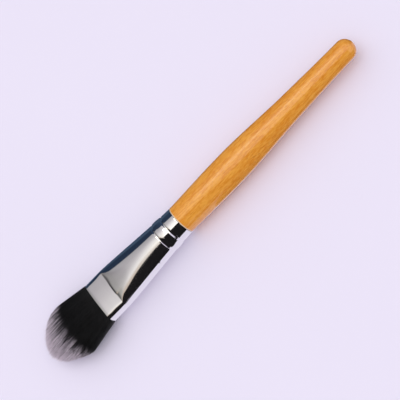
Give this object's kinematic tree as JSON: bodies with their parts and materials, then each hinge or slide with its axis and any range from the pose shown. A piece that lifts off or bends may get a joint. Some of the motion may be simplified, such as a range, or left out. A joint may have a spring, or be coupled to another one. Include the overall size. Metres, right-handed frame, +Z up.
{
  "type": "facial mask brush",
  "caption": "Flat, dome-tipped brush for spreading face masks: a turned bamboo handle, a chrome ferrule pressed flat at its mouth and a flared two-tone synthetic tuft.",
  "frame": {"origin": "under the middle of the brush's length, on the surface that the brush lies on, with its axis level above it", "axes": "+X runs along the brush from the bristle tips to the butt of the handle, +Y across its width, +Z up through its thickness"},
  "size_m": [0.1699, 0.0247, 0.0135],
  "materials": {
    "lacquered_bamboo": "clear satin lacquer over amber bamboo with fine lengthwise grain",
    "polished_plate": "bright polished plating",
    "dyed_bristle": "fine synthetic fibre, black with pale tips",
    "root_glue": "hardened clear resin, amber",
    "wood_glue": "dried adhesive, cream"
  },
  "bodies": {
    "root": {"handle": "lacquered_bamboo", "ferrule": "polished_plate", "bristle_tuft": "dyed_bristle", "epoxy_plug": "root_glue", "tenon_adhesive": "wood_glue"}
  },
  "joints": []
}
